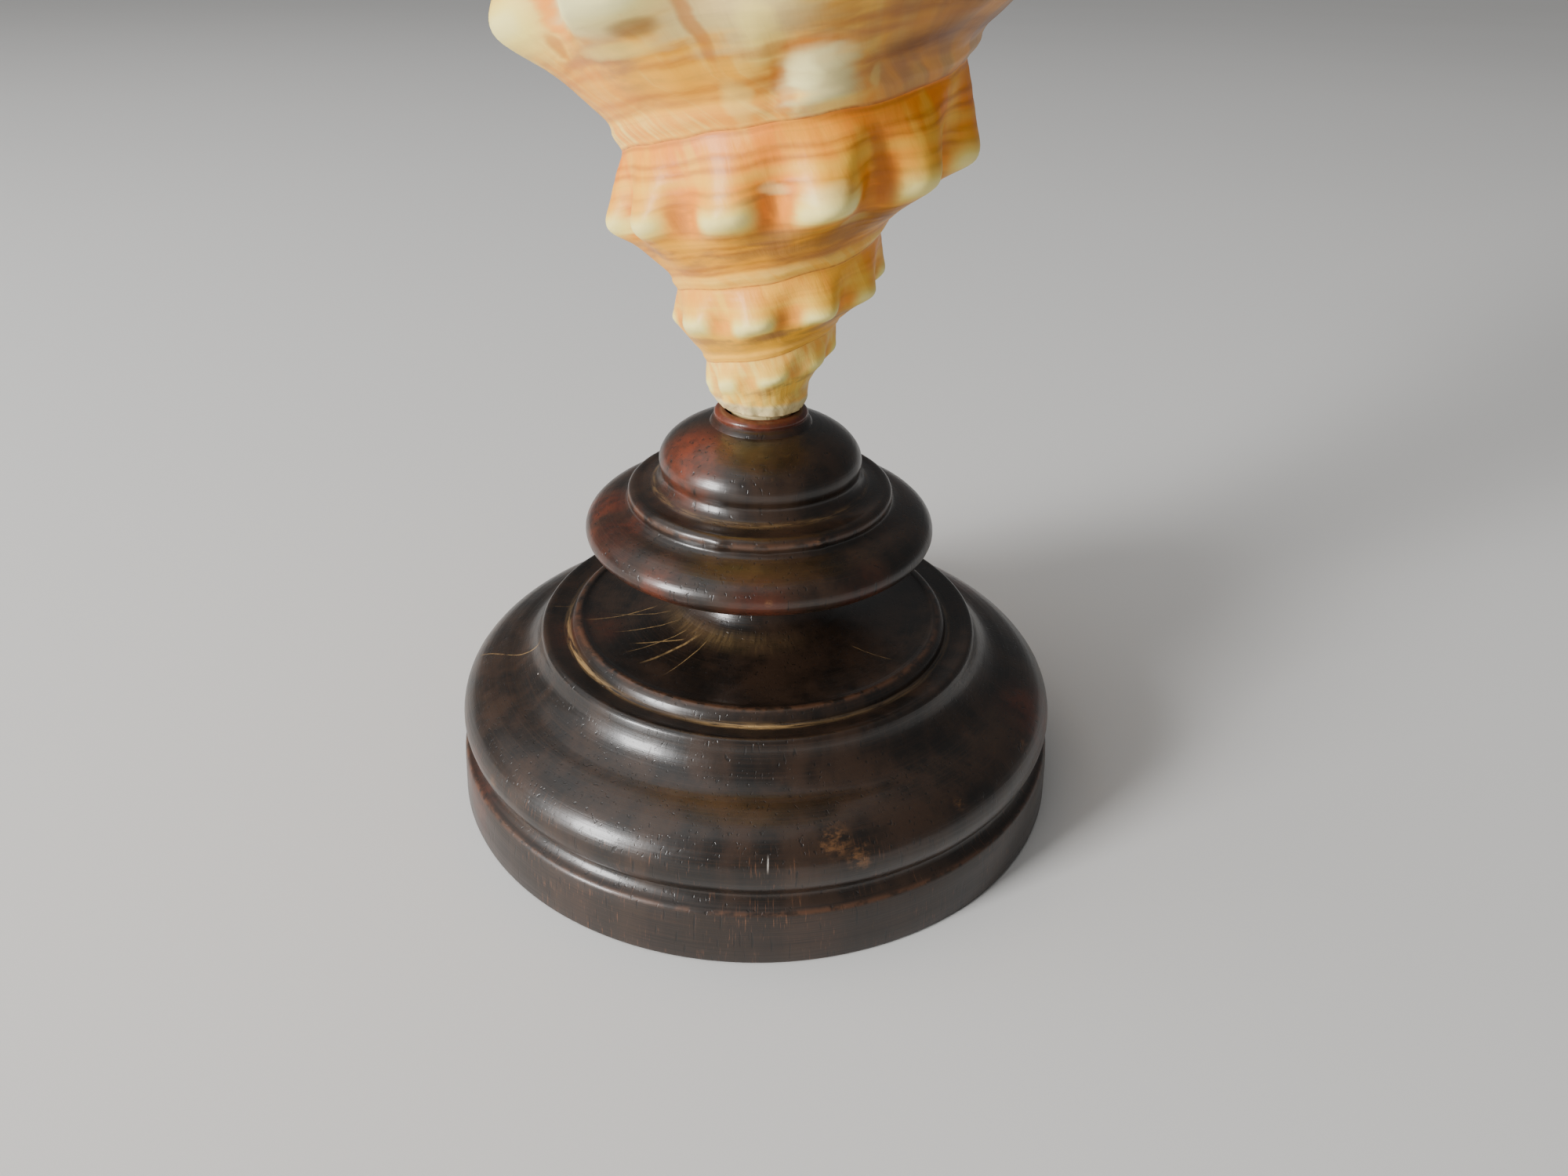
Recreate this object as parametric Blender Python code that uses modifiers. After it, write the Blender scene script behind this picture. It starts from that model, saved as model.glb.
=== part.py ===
"""A trapezium horse conch shell standing tip down in a turned wooden stand.

Metres, +Z up. The origin is the middle of the stand's foot, on the surface it stands on.
The shell winds about its own axis, which leans a little; its mouth faces -Y.
"""
import math

import bmesh
import bpy
from mathutils import Vector

MM = 0.001

# Stand, from the foot up
FOOT_RADIUS = 40.0 * MM
PLINTH_HEIGHT = 7.2 * MM
SHOULDER_CENTRE = (32.2 * MM, 11.6 * MM)
SHOULDER_RADII = (6.9 * MM, 5.3 * MM)
LEDGE_RADIUS = 28.3 * MM
LEDGE_HEIGHT = 21.9 * MM
BEAD_RADIUS = 23.4 * MM
BEAD_HEIGHT = 23.3 * MM
NECK_RADIUS = 8.7 * MM
NECK_HEIGHT = 28.6 * MM
RING_CENTRE = (16.2 * MM, 35.8 * MM)
RING_RADII = (5.6 * MM, 3.0 * MM)
FILLET_RADIUS = 16.4 * MM
FILLET_HEIGHT = 40.5 * MM
DOME_RADIUS = 12.45 * MM
DOME_MIDDLE = 44.3 * MM
DOME_RISE = 5.6 * MM
COLLAR_RADIUS = 5.2 * MM
COLLAR_TOP = 50.9 * MM
STAND_STEPS = 40

# Socket in the collar: a cone round the shell's tip
SOCKET_FLOOR = 3.4 * MM
SOCKET_TOP = 14.0 * MM
SOCKET_GAP = 0.35 * MM

# Shell: every length grows by GROWTH in one turn. Turn 0 is at -X, and turns count on
# from there anticlockwise seen from above. Heights are taken from the spire's apex.
GROWTH = 1.595
SUTURE_HEIGHT = 15.1 * MM
SUTURE_SLOPE = 0.414
LIP_TURN = 3.03
FIRST_TURN = LIP_TURN - 108 / 22
APEX_HEIGHT = 40.3 * MM
TIP_HEIGHT = 4.2 * MM
TIP_SLOPE = 0.395
LEAN_HEIGHT = 9.0 * MM
LEAN_TO_RIGHT = 0.026
LEAN_TO_BACK = 0.049

# The whorl's outline, as (height, radius) over the height of its lower suture
CANAL_END = 2.48
OUTLINE = [(1.0, 0.414), (1.08, 0.458), (1.15, 0.532), (1.23, 0.611), (1.3, 0.645), (1.4, 0.658),
           (1.595, 0.66), (1.7, 0.637), (1.8, 0.585), (1.9, 0.51), (2.0, 0.42), (2.1, 0.33),
           (2.2, 0.246), (2.3, 0.185), (2.4, 0.142), (CANAL_END, 0.12)]

# Knobs on the shoulder: the turns at which certain knobs stand, and their section
KNOB_PLACES = [(-2.0, -20.0), (0.04, 0.0), (0.42, 4.0), (1.02, 10.0), (1.48, 15.0), (2.03, 20.0),
               (3.03, 28.5)]
KNOB_SECTION = [(1.08, 0.0), (1.2, 0.3), (1.29, 1.0), (1.4, 0.62), (1.57, 0.0)]
KNOB_HEIGHT = 0.085
KNOB_DROOP = 0.25

# Mouth: wall, depth in turns behind the lip, and the pillar that the whorls wind round
LIP_THICKNESS = 0.03
WALL_THICKNESS = 0.056
CANAL_THICKNESS = 0.034
WALL_GROWS_OVER = 0.035
MOUTH_CORNER = 1.06
PARIETAL_CORNER = 1.72
MOUTH_DEPTH = 0.62
CANAL_DEPTH = 0.24
PILLAR_SECTION = [(1.85, 0.0), (2.0, 0.34), (2.1, 0.64), (2.2, 0.78), (2.3, 0.86), (CANAL_END, 0.88)]
PILLAR_SWING = 0.42
CANAL_BEND = 3.5 * MM

# Fineness of the shell's faces
ROWS_A_TURN = 44
SIDE_COLUMNS = 8
CORNER_COLUMNS = 2
BASE_COLUMNS = 8
DEPTH_ROWS = 12


def material(name, colour, roughness):
    made = bpy.data.materials.new(name)
    made.use_nodes = True
    shader = made.node_tree.nodes["Principled BSDF"]
    shader.inputs["Base Color"].default_value = (*colour, 1.0)
    shader.inputs["Roughness"].default_value = roughness
    return made


def object_from(name, bm, collection, finish=None):
    mesh = bpy.data.meshes.new(name)
    bm.to_mesh(mesh)
    bm.free()
    made = bpy.data.objects.new(name, mesh)
    collection.objects.link(made)
    if finish:
        mesh.materials.append(finish)
    return made


def ease(value):
    """Go smoothly from 0 to 1."""
    value = min(max(value, 0.0), 1.0)
    return value * value * (3.0 - 2.0 * value)


def along(points, x):
    """Read a smooth curve through points (x, y), held level past its ends."""
    if x <= points[0][0]:
        return points[0][1]
    if x >= points[-1][0]:
        return points[-1][1]
    step = max(i for i, point in enumerate(points) if point[0] <= x)
    before, start, end, after = (points[min(max(step + i, 0), len(points) - 1)] for i in (-1, 0, 1, 2))
    width = end[0] - start[0]
    slope_in = (end[1] - before[1]) / (end[0] - before[0]) * width
    slope_out = (after[1] - start[1]) / (after[0] - start[0]) * width
    t = (x - start[0]) / width
    rise = end[1] - start[1]
    bend = slope_in + slope_out - 2 * rise
    return start[1] + t * (slope_in + t * (rise - slope_in - bend + t * bend))


def straight(points, x):
    """Read the straight lines through points (x, y)."""
    step = max([i for i, point in enumerate(points[:-1]) if point[0] <= x], default=0)
    (x0, y0), (x1, y1) = points[step], points[step + 1]
    return y0 + (y1 - y0) * (x - x0) / (x1 - x0)


def arc(centre, radii, start, end, steps):
    """Points (radius, height) along an ellipse, by angles in degrees from level."""
    angles = [math.radians(start + (end - start) * i / steps) for i in range(steps + 1)]
    return [(centre[0] + radii[0] * math.cos(a), centre[1] + radii[1] * math.sin(a)) for a in angles]


def stand_outline():
    """The turned outline, from the collar's top down its outer side to the middle of the foot."""
    collar = [(0.0, COLLAR_TOP), (COLLAR_RADIUS - 0.3 * MM, COLLAR_TOP), (COLLAR_RADIUS, COLLAR_TOP - 0.4 * MM),
              (COLLAR_RADIUS + 0.2 * MM, 49.9 * MM)]
    dome = arc((0.0, DOME_MIDDLE), (DOME_RADIUS, DOME_RISE), 60, -14, 7)
    fillet = [(12.7 * MM, 41.9 * MM), (14.6 * MM, 41.1 * MM), (15.8 * MM, 41.2 * MM),
              (FILLET_RADIUS, FILLET_HEIGHT), (FILLET_RADIUS - 0.1 * MM, 39.5 * MM)]
    ring = arc(RING_CENTRE, RING_RADII, 72, -88, 9)
    neck = [(11.6 * MM, 32.2 * MM), (9.4 * MM, 31.0 * MM), (NECK_RADIUS, NECK_HEIGHT), (9.6 * MM, 26.0 * MM),
            (11.4 * MM, 24.5 * MM), (14.0 * MM, 23.5 * MM)]
    bead = [(18.0 * MM, 22.9 * MM), (22.2 * MM, 22.9 * MM), (BEAD_RADIUS, BEAD_HEIGHT), (24.5 * MM, 22.3 * MM),
            (25.0 * MM, 21.7 * MM), (27.3 * MM, 22.2 * MM)]
    cove = [(LEDGE_RADIUS, LEDGE_HEIGHT), (28.6 * MM, 20.7 * MM), (29.9 * MM, 18.7 * MM), (32.4 * MM, 17.2 * MM)]
    shoulder = arc(SHOULDER_CENTRE, SHOULDER_RADII, 66, -45, 7)
    plinth = [(37.7 * MM, 8.6 * MM), (38.4 * MM, 7.6 * MM), (FOOT_RADIUS - 0.9 * MM, PLINTH_HEIGHT),
              (FOOT_RADIUS - 0.5 * MM, PLINTH_HEIGHT - 0.5 * MM), (FOOT_RADIUS, 0.4 * MM),
              (FOOT_RADIUS - 0.4 * MM, 0.0), (0.0, 0.0)]
    return collar + dome + fillet + ring + neck + bead + cove + shoulder + plinth


def make_stand(collection, cutters, finish):
    bm = bmesh.new()
    points = [bm.verts.new((radius, 0.0, height)) for radius, height in stand_outline()]
    for upper, lower in zip(points, points[1:]):
        bm.edges.new((upper, lower))
    stand = object_from("stand", bm, collection, finish)
    screw = stand.modifiers.new("Turning", "SCREW")
    screw.axis = "Z"
    screw.steps = STAND_STEPS
    screw.render_steps = STAND_STEPS
    screw.use_merge_vertices = True
    screw.merge_threshold = 0.00001
    screw.use_smooth_shade = True

    bm = bmesh.new()
    bmesh.ops.create_cone(bm, cap_ends=True, segments=STAND_STEPS, radius1=TIP_SLOPE * SOCKET_FLOOR + SOCKET_GAP,
                          radius2=TIP_SLOPE * SOCKET_TOP + SOCKET_GAP, depth=SOCKET_TOP - SOCKET_FLOOR)
    bmesh.ops.translate(bm, verts=bm.verts, vec=(0.0, 0.0, (SOCKET_TOP + SOCKET_FLOOR) / 2))
    socket = object_from("socket_cutter", bm, cutters)
    socket.display_type = "WIRE"
    socket.hide_render = True
    lean_on_axis(socket)
    drill = stand.modifiers.new("Socket", "BOOLEAN")
    drill.operation = "DIFFERENCE"
    drill.object = socket
    return stand


def lean_on_axis(piece):
    """Set a piece that stands on the shell's axis at the apex, leaning about a point in the socket."""
    piece.location = (-LEAN_TO_RIGHT * LEAN_HEIGHT, -LEAN_TO_BACK * LEAN_HEIGHT, APEX_HEIGHT)
    piece.rotation_euler = (-LEAN_TO_BACK, LEAN_TO_RIGHT, 0.0)


def knob(turn, rise):
    """How far a knob stands out of the whorl's outline."""
    number = straight(KNOB_PLACES, turn)
    across = 1.0 - abs(math.sin(math.pi * (number - round(number)))) ** 2.5
    return KNOB_HEIGHT * across * along(KNOB_SECTION, rise)


def wound(turn, rise):
    """How much of the growth reaches this height: all on the whorls, none at the canal's end."""
    return GROWTH ** ((turn - LIP_TURN) * (1.0 - ease((rise - 1.85) / (CANAL_END - 1.85))))


def section(turn, rise, knobs=1.0):
    """Radius and height of the whorl's outside, in metres about the shell's axis."""
    size = SUTURE_HEIGHT * GROWTH ** LIP_TURN * wound(turn, rise)
    height = size * rise
    relief = min(1.0, 0.78 + 0.3 * (turn - 0.25)) * ease((height - 10.8 * MM) / (3.0 * MM))
    free = ease((height - 10.0 * MM) / (2.5 * MM))
    groove = 0.012 * (1.0 + math.cos(2 * math.pi * (rise - 1.0) / (GROWTH - 1.0)))
    cone = rise * (free * SUTURE_SLOPE + (1.0 - free) * (TIP_SLOPE - groove))
    bulge = knob(turn, rise) * knobs
    radius = cone + relief * (along(OUTLINE, rise) - rise * SUTURE_SLOPE + bulge)
    pillar = along(PILLAR_SECTION, rise) * (1.0 - ease((turn - LIP_TURN + 1.0) / PILLAR_SWING))
    return size * radius * (1.0 - pillar), height - size * KNOB_DROOP * relief * bulge


def place(turn, radius, height):
    """A point of the shell by its turn, its radius and its height above the apex."""
    angle = math.pi * (2.0 * turn - 1.0)
    whole = SUTURE_HEIGHT * GROWTH ** LIP_TURN
    bend = CANAL_BEND * ease((height / whole - 1.9) / (CANAL_END - 1.9)) ** 2
    return Vector((radius * math.cos(angle) - bend, radius * math.sin(angle), height))


def outside(turn, rise):
    return place(turn, *section(turn, rise))


def lining(turn, rise):
    """The inner face of the outer wall, as far in from the outside as the wall is thick."""
    size = SUTURE_HEIGHT * GROWTH ** LIP_TURN * wound(turn, rise)
    wall = WALL_THICKNESS + (CANAL_THICKNESS - WALL_THICKNESS) * ease((rise - 1.8) / 0.5)
    thickness = LIP_THICKNESS + (wall - LIP_THICKNESS) * ease((LIP_TURN - turn) / WALL_GROWS_OVER)
    radius, height = section(turn, rise, knobs=0.0)
    radius_on, height_on = section(turn, rise + 0.01, knobs=0.0)
    across = Vector((height - height_on, radius_on - radius)).normalized() * size * thickness
    return place(turn, radius + across.x, height + across.y)


def side_rise(column):
    return 1.0 + (GROWTH - 1.0) * column / SIDE_COLUMNS


def base_rise(column):
    """Heights from the suture to the mouth's corner, then on to the canal's end."""
    if column <= CORNER_COLUMNS:
        return GROWTH + (PARIETAL_CORNER - GROWTH) * column / CORNER_COLUMNS
    return PARIETAL_CORNER + (CANAL_END - PARIETAL_CORNER) * (column - CORNER_COLUMNS) / BASE_COLUMNS


def lip_rise(column):
    if column <= SIDE_COLUMNS:
        return side_rise(column)
    return base_rise(column - SIDE_COLUMNS)


LIP_COLUMNS = SIDE_COLUMNS + CORNER_COLUMNS + BASE_COLUMNS


def depth(share, column):
    """Turns behind the lip: deep in the mouth, shallow in the canal."""
    canal = ease((column / BASE_COLUMNS - 0.45) / 0.4)
    return share * (MOUTH_DEPTH + (CANAL_DEPTH - MOUTH_DEPTH) * canal)


def open_pillar(share, column):
    """The wall on the pillar's side of the mouth, before the mouth narrows inwards."""
    return outside(LIP_TURN - 1.0 - depth(share, column), base_rise(column + CORNER_COLUMNS))


def open_lining(share, column):
    """The lip's side of the mouth, before the mouth narrows inwards; its first column is the corner."""
    facing = column * BASE_COLUMNS / LIP_COLUMNS
    rise = lip_rise(column)
    into_corner = max(0.0, 1.0 - (rise - 1.0) / 0.12)
    turn = LIP_TURN - depth(share, facing)
    shift = open_pillar(share, 0.0) - lining(LIP_TURN - depth(share, 0.0), MOUTH_CORNER)
    return lining(turn, rise + (MOUTH_CORNER - 1.0) * into_corner) + shift * into_corner


def middle(share, column):
    """Where the two sides of the mouth meet at its end."""
    return (open_pillar(share, column) + open_lining(share, round(column * LIP_COLUMNS / BASE_COLUMNS))) / 2


def narrowed(share, point, column):
    still_open = math.sqrt(1.0 - share ** 3)
    meeting = middle(share, column)
    return meeting + (point - meeting) * still_open


def pillar_side(share, column):
    return narrowed(share, open_pillar(share, column), column)


def lip_side(share, column):
    return narrowed(share, open_lining(share, column), round(column * BASE_COLUMNS / LIP_COLUMNS))


def lip_edge(across, column):
    """The rounded edge between the outside and the lining. It starts flush on the whorl below."""
    if column == 0:
        return outside(LIP_TURN - 1.0, base_rise(across * CORNER_COLUMNS))
    outer = outside(LIP_TURN, lip_rise(column))
    inner = open_lining(0.0, column)
    forward = Vector((0.0, 0.0, 1.0)).cross(Vector((outer.x, outer.y, 0.0))).normalized()
    swell = 0.45 * (outer - inner).length * math.sin(math.pi * across) * ease((lip_rise(column) - 1.0) / 0.12)
    return outer.lerp(inner, across) + forward * swell


def bent_grid(bm, rows, columns, point_at):
    """Lay a flat grid, then move each point to point_at(row, column)."""
    grid = bmesh.ops.create_grid(bm, x_segments=rows, y_segments=columns, size=0.5)
    for point in grid["verts"]:
        point.co = point_at(round((point.co.x + 0.5) * rows), round((point.co.y + 0.5) * columns))


def make_shell(collection, finish):
    bm = bmesh.new()
    side_rows = round((LIP_TURN - FIRST_TURN) * ROWS_A_TURN)
    bent_grid(bm, side_rows, SIDE_COLUMNS,
              lambda row, column: outside(FIRST_TURN + row / ROWS_A_TURN, side_rise(column)))
    bent_grid(bm, ROWS_A_TURN, CORNER_COLUMNS + BASE_COLUMNS,
              lambda row, column: outside(LIP_TURN - 1.0 + row / ROWS_A_TURN, base_rise(column)))
    bent_grid(bm, DEPTH_ROWS, BASE_COLUMNS, lambda row, column: pillar_side(row / DEPTH_ROWS, column))
    bent_grid(bm, DEPTH_ROWS, LIP_COLUMNS, lambda row, column: lip_side(row / DEPTH_ROWS, column))
    bent_grid(bm, CORNER_COLUMNS, LIP_COLUMNS, lambda row, column: lip_edge(row / CORNER_COLUMNS, column))
    bmesh.ops.remove_doubles(bm, verts=bm.verts, dist=0.02 * MM)

    open_edges = [edge for edge in bm.edges if edge.is_boundary]
    caps = bmesh.ops.edgeloop_fill(bm, edges=open_edges)["faces"]
    tip = min(caps, key=lambda face: face.calc_center_median().z)
    poked = bmesh.ops.poke(bm, faces=[tip])
    poked["verts"][0].co = (0.0, 0.0, TIP_HEIGHT)
    bmesh.ops.recalc_face_normals(bm, faces=bm.faces)
    for face in bm.faces:
        face.smooth = True
    shell = object_from("shell", bm, collection, finish)
    lean_on_axis(shell)
    return shell


for old in list(bpy.data.objects):
    bpy.data.objects.remove(old, do_unlink=True)
parts = bpy.data.collections.new("trapezium_horse_conch_on_stand")
tools = bpy.data.collections.new("cutters")
bpy.context.scene.collection.children.link(parts)
bpy.context.scene.collection.children.link(tools)

make_stand(parts, tools, material("polished dark wood", (0.055, 0.026, 0.016), 0.22))
make_shell(parts, material("orange and cream shell", (0.72, 0.42, 0.20), 0.28))
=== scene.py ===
import math
import random

import bpy
from mathutils import Euler, Matrix, Vector, noise


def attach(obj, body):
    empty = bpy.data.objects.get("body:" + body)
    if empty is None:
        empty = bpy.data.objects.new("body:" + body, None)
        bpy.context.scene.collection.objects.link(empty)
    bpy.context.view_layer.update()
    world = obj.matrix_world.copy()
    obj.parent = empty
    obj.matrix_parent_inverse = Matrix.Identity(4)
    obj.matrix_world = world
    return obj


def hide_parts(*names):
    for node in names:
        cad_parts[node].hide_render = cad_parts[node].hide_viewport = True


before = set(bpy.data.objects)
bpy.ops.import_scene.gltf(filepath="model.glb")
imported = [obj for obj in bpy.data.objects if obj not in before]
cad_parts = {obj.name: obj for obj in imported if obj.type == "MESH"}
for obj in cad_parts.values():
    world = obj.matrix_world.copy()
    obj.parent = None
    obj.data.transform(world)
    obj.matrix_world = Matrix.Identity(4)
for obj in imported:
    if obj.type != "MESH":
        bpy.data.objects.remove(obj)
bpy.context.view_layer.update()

MM = 0.001


# The stand. A spindle-turned billet of very dark rosewood, with its grain upright, sanded on the lathe
# and polished with wax. Old wax has gathered in its grooves, and its edges are worn to a redder brown.
# Sizes in millimetres
FOOT = 39.6
PLINTH = 7.2
COLLAR_TOP = 50.9
TURNED_STEPS = 192
SOCKET_FLOOR = 3.4
APEX_HEIGHT = 40.3
SOCKET_WALL = 0.395
SOCKET_GAP = 0.35
SOCKET_REACH = 5.2
LEAN_HEIGHT = 9.0
LEAN = Vector((0.026, 0.049))
FLAT_FOOT = 0.3


def arc(centre, radii, start, end, steps):
    """Points (radius, height) along an ellipse, by angles in degrees from level."""
    angles = [math.radians(start + (end - start) * i / steps) for i in range(steps + 1)]
    return [(centre[0] + radii[0] * math.cos(a), centre[1] + radii[1] * math.sin(a)) for a in angles]


def neighbours(points, step):
    """The points before, at, after and two after a step; the ends stand in for those past them."""
    return [points[min(max(step + i, 0), len(points) - 1)] for i in (-1, 0, 1, 2)]


def swept(points, steps=4):
    """A smooth line through points (radius, height), with its ends where they are."""
    line = []
    for i in range(len(points) - 1):
        before, start, end, after = (Vector(point) for point in neighbours(points, i))
        slope_in, slope_out = (end - before) / 2, (after - start) / 2
        bend = slope_in + slope_out - 2 * (end - start)
        for step in range(steps):
            t = step / steps
            line.append(tuple(start + t * (slope_in + t * (end - start - slope_in - bend + t * bend))))
    return line + [points[-1]]


plinth = [(FOOT + 0.3, 0.15), (40.0, 0.5), (39.85, 2.6), (39.7, 4.8), (39.5, PLINTH - 0.55),
          (39.35, PLINTH - 0.2)]
step = swept([(39.1, PLINTH), (38.5, 7.5), (37.95, 8.2), (37.75, 9.0)], 3)
shoulder = arc((32.2, 11.6), (6.9, 5.3), -42, 68, 26)
cove = swept([(33.6, 16.95), (31.6, 17.5), (30.0, 18.6), (29.0, 19.8), (28.5, 21.0)], 4)
ledge = swept([(28.35, 21.8), (28.05, 22.15), (27.5, 22.25), (26.4, 21.95), (25.2, 21.7), (24.65, 21.9)], 3)
bead = swept([(24.4, 22.7), (23.8, 23.25), (23.1, 23.3), (22.2, 22.95), (18.0, 22.9), (13.8, 23.6)], 4)
neck = swept([(11.4, 24.5), (9.7, 26.0), (8.75, 28.4), (9.2, 30.8), (11.0, 31.95), (14.0, 32.55)], 4)
ring = arc((16.2, 35.8), (5.6, 3.0), -84, 74, 30)
fillet = swept([(16.9, 38.95), (16.4, 39.4), (16.45, 40.1), (16.3, 40.75), (15.7, 41.15), (14.8, 41.1)], 3)
hollow = swept([(13.7, 41.25), (12.75, 41.85), (12.25, 42.7)], 4)
dome = arc((0.0, 44.3), (12.45, 5.6), -12, 60, 24)
collar = swept([(5.95, 49.6), (5.6, 49.9), (5.68, 50.35), (5.4, 50.75), (4.95, COLLAR_TOP)], 3)
outline = plinth + step + shoulder + cove + ledge + bead + neck + ring + fillet + hollow + dome + collar

bpy.ops.object.select_all(action="DESELECT")
bpy.ops.mesh.primitive_circle_add(vertices=TURNED_STEPS, radius=FOOT * MM, fill_type="NGON",
                                  location=(0, 0, 0))
stand = bpy.context.object
stand.name = "turned_stand"
bpy.ops.object.mode_set(mode="EDIT")
bpy.ops.mesh.select_all(action="SELECT")
last_radius, last_height, last_shift = FOOT, 0.0, Vector((0.0, 0.0))
rim = COLLAR_TOP - APEX_HEIGHT
levels = (rim, rim - 0.4, rim - 3.0, SOCKET_FLOOR)
socket = [(SOCKET_GAP + SOCKET_WALL * level, APEX_HEIGHT + level) for level in levels]
for radius, height in outline + socket:
    inside = height < COLLAR_TOP and (radius, height) in socket
    shift = LEAN * (height - APEX_HEIGHT - LEAN_HEIGHT) if inside else Vector((0.0, 0.0))
    move = (shift - last_shift) * MM
    bpy.ops.mesh.extrude_region_move(
        TRANSFORM_OT_translate={"value": (move.x, move.y, (height - last_height) * MM)})
    bpy.ops.transform.resize(value=(radius / last_radius, radius / last_radius, 1.0))
    last_radius, last_height, last_shift = radius, height, shift
bpy.ops.mesh.select_all(action="SELECT")
bpy.ops.mesh.normals_make_consistent(inside=False)
bpy.ops.object.mode_set(mode="OBJECT")

# Small lumps where the fillet was nicked, and the slight unevenness of a hand-turned, worn piece
LUMPS = [(-0.0045, -0.0155, 0.0405, 0.30), (0.0068, -0.0149, 0.0405, 0.26), (0.0006, -0.0163, 0.0402, 0.16),
         (-0.0125, -0.0105, 0.0404, 0.18)]
LUMP_WIDTH = 0.0007
for point in stand.data.vertices:
    out = Vector((point.co.x, point.co.y, 0.0))
    if out.length < SOCKET_REACH * MM:
        continue
    uneven = 0.035 * noise.noise(point.co * 160.0) + 0.02 * noise.noise(point.co * 520.0)
    for x, y, z, size in LUMPS:
        uneven += size * math.exp(-((point.co - Vector((x, y, z))).length / LUMP_WIDTH) ** 2)
    if point.co.z > FLAT_FOOT * MM:
        point.co += out.normalized() * uneven * MM
bpy.ops.object.shade_smooth_by_angle(angle=math.radians(38))


class Wire:
    """One value in a finish. Sums and products of such values add Math nodes to the material."""

    def __init__(self, tree, socket):
        self.tree = tree
        self.socket = socket

    def node(self, kind, settings, values, output=0):
        """Add any node: its settings first, then the values or links of its sockets."""
        made = self.tree.nodes.new(kind)
        for name, setting in settings.items():
            setattr(made, name, setting)
        for key, value in values.items():
            if isinstance(value, Wire):
                self.tree.links.new(value.socket, made.inputs[key])
            else:
                made.inputs[key].default_value = value
        return Wire(self.tree, made.outputs[output])

    def maths(self, operation, *others):
        """A Math node on this value and the others."""
        return self.node("ShaderNodeMath", {"operation": operation}, dict(enumerate((self,) + others)))

    def __add__(self, other):
        return self.maths("ADD", other)

    def __sub__(self, other):
        return self.maths("SUBTRACT", other)

    def __rsub__(self, other):
        return self.node("ShaderNodeMath", {"operation": "SUBTRACT"}, {0: other, 1: self})

    def __mul__(self, other):
        return self.maths("MULTIPLY", other)

    def __truediv__(self, other):
        return self.maths("DIVIDE", other)

    def __pow__(self, other):
        return self.maths("POWER", other)

    def __abs__(self):
        return self.maths("ABSOLUTE")

    __radd__ = __add__
    __rmul__ = __mul__

    def greater(self, other):
        return self.maths("MAXIMUM", other)

    def ramp(self, low, high):
        """0 at low, 1 at high, smooth between; low may be the greater."""
        return self.node("ShaderNodeMapRange", {"interpolation_type": "SMOOTHSTEP"},
                         {"Value": self, "From Min": low, "From Max": high})

    def near(self, middle, width):
        """1 at middle, falling smoothly to 0 at width from it."""
        return abs(self - middle).ramp(width, 0.0)


def new_finish(name, **constants):
    """A material with one shader; its constants go on the shader's own sockets."""
    made = bpy.data.materials.new(name)
    made.use_nodes = True
    shader = made.node_tree.nodes["Principled BSDF"]
    for socket_name, value in constants.items():
        shader.inputs[socket_name.replace("_", " ")].default_value = value
    return made, shader, Wire(made.node_tree, None)


def split(vector):
    """The three parts of a place."""
    return [vector.node("ShaderNodeSeparateXYZ", {}, {0: vector}, output=i) for i in range(3)]


def stretched(vector, x, y, z):
    """A place scaled along each axis; a figure read from it stretches where the scale is small."""
    return vector.node("ShaderNodeVectorMath", {"operation": "MULTIPLY"}, {0: vector, 1: (x, y, z)})


def bring(x, y, z):
    """Three values as one place; x is a Wire."""
    return x.node("ShaderNodeCombineXYZ", {}, {0: x, 1: y, 2: z})


def cloud(place, scale, detail, roughness):
    """Soft uneven values, about 0.3 to 0.7."""
    values = {"Vector": place, "Scale": scale, "Detail": detail, "Roughness": roughness}
    return place.node("ShaderNodeTexNoise", {}, values)


def blend(under, over, share):
    """A colour under another, which covers it by its share."""
    return share.node("ShaderNodeMix", {"data_type": "RGBA"}, {0: share, 6: under, 7: over}, output=2)


def bumped(shader, wire, height, distance):
    """Raise the surface by a height over a distance in metres, in the light only."""
    normal = wire.node("ShaderNodeBump", {}, {"Height": height, "Distance": distance, "Strength": 1.0})
    wire.tree.links.new(normal.socket, shader.inputs["Normal"])


BLACK_WOOD = (0.0075, 0.0055, 0.0042, 1.0)
BROWN_WOOD = (0.032, 0.0175, 0.0105, 1.0)
RED_WOOD = (0.130, 0.028, 0.011, 1.0)
WORN_EDGE = (0.19, 0.080, 0.038, 1.0)
OLD_WAX = (0.50, 0.31, 0.12, 1.0)
SCUFFED_WOOD = (0.21, 0.098, 0.038, 1.0)
DUST = (0.62, 0.58, 0.52, 1.0)

rosewood, shader, wire = new_finish("waxed rosewood", IOR=1.5, Coat_Weight=0.2, Coat_Roughness=0.12)
at = wire.node("ShaderNodeTexCoord", {}, {}, output=3)
x, y, z = split(at)
radius = (x * x + y * y) ** 0.5
around = y.maths("ARCTAN2", x)
figure = cloud(stretched(at, 1.0, 1.0, 0.12), 190.0, 4.0, 0.6)
fine_grain = cloud(stretched(at, 1.0, 1.0, 0.05), 1500.0, 2.0, 0.5)
pores = cloud(stretched(at, 1.0, 1.0, 0.085), 2600.0, 1.0, 0.4).ramp(0.64, 0.74)
turning = cloud(bring(radius, z, 0.0), 2300.0, 2.0, 0.6)
lathe_marks = cloud(bring(around * 1.2, radius * 5200.0, z * 5200.0), 1.0, 2.0, 0.7)
worn = cloud(at, 120.0, 4.0, 0.65)
mottle = cloud(at, 480.0, 3.0, 0.7)
plinth_part = z.ramp(0.0085, 0.0065)
colour = blend(BLACK_WOOD, BROWN_WOOD, figure.ramp(0.36, 0.66))
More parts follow.
